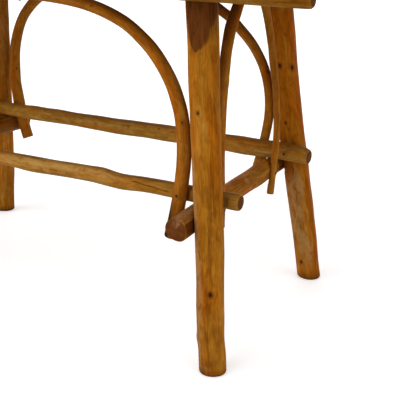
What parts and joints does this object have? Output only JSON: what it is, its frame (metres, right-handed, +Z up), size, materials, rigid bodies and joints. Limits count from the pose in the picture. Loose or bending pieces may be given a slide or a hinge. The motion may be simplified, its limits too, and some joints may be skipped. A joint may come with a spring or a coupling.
{
  "type": "center table",
  "caption": "Rustic center table of peeled poles: splayed round legs, crossed stretchers, bent-twig arches on every side and a plank top on pole rails, nailed together.",
  "frame": {"origin": "on the floor, under the middle of the top", "axes": "+X along the table, +Y across it, +Z up; the front long side faces -Y"},
  "size_m": [1.32, 0.62, 0.752],
  "materials": {
    "leg_wood": "varnished peeled pole, amber",
    "rail_wood": "varnished peeled pole, brown amber",
    "stretcher_wood": "varnished peeled pole, tan",
    "twig_wood": "varnished peeled twig, brown amber",
    "board_wood": "varnished plank",
    "nail_iron": "dark iron nail"
  },
  "bodies": {
    "root": {"leg_back_left": "leg_wood", "leg_back_right": "leg_wood", "leg_front_left": "leg_wood", "leg_front_right": "leg_wood", "long_arch_back": "twig_wood", "long_arch_front": "twig_wood", "long_stretcher_back": "stretcher_wood", "long_stretcher_front": "stretcher_wood", "nail_crossing_back_left": "nail_iron", "nail_crossing_back_right": "nail_iron", "nail_crossing_front_left": "nail_iron", "nail_crossing_front_right": "nail_iron", "nail_long_arch_back_crown": "nail_iron", "nail_long_arch_back_left": "nail_iron", "nail_long_arch_back_right": "nail_iron", "nail_long_arch_front_crown": "nail_iron", "nail_long_arch_front_left": "nail_iron", "nail_long_arch_front_right": "nail_iron", "nail_long_stretcher_back_left": "nail_iron", "nail_long_stretcher_back_right": "nail_iron", "nail_long_stretcher_front_left": "nail_iron", "nail_long_stretcher_front_right": "nail_iron", "nail_rail_back_left": "nail_iron", "nail_rail_back_right": "nail_iron", "nail_rail_front_left": "nail_iron", "nail_rail_front_right": "nail_iron", "nail_short_arch_left_back": "nail_iron", "nail_short_arch_left_crown": "nail_iron", "nail_short_arch_left_front": "nail_iron", "nail_short_arch_right_back": "nail_iron", "nail_short_arch_right_crown": "nail_iron", "nail_short_arch_right_front": "nail_iron", "nail_short_stretcher_back_left": "nail_iron", "nail_short_stretcher_back_right": "nail_iron", "nail_short_stretcher_front_left": "nail_iron", "nail_short_stretcher_front_right": "nail_iron", "short_arch_left": "twig_wood", "short_arch_right": "twig_wood", "short_stretcher_left": "stretcher_wood", "short_stretcher_right": "stretcher_wood", "top_board_1": "board_wood", "top_board_2": "board_wood", "top_board_3": "board_wood", "top_board_4": "board_wood", "top_board_5": "board_wood", "top_board_6": "board_wood", "top_board_7": "board_wood", "top_board_8": "board_wood", "top_board_9": "board_wood", "top_rail_back": "rail_wood", "top_rail_front": "rail_wood"}
  },
  "joints": []
}
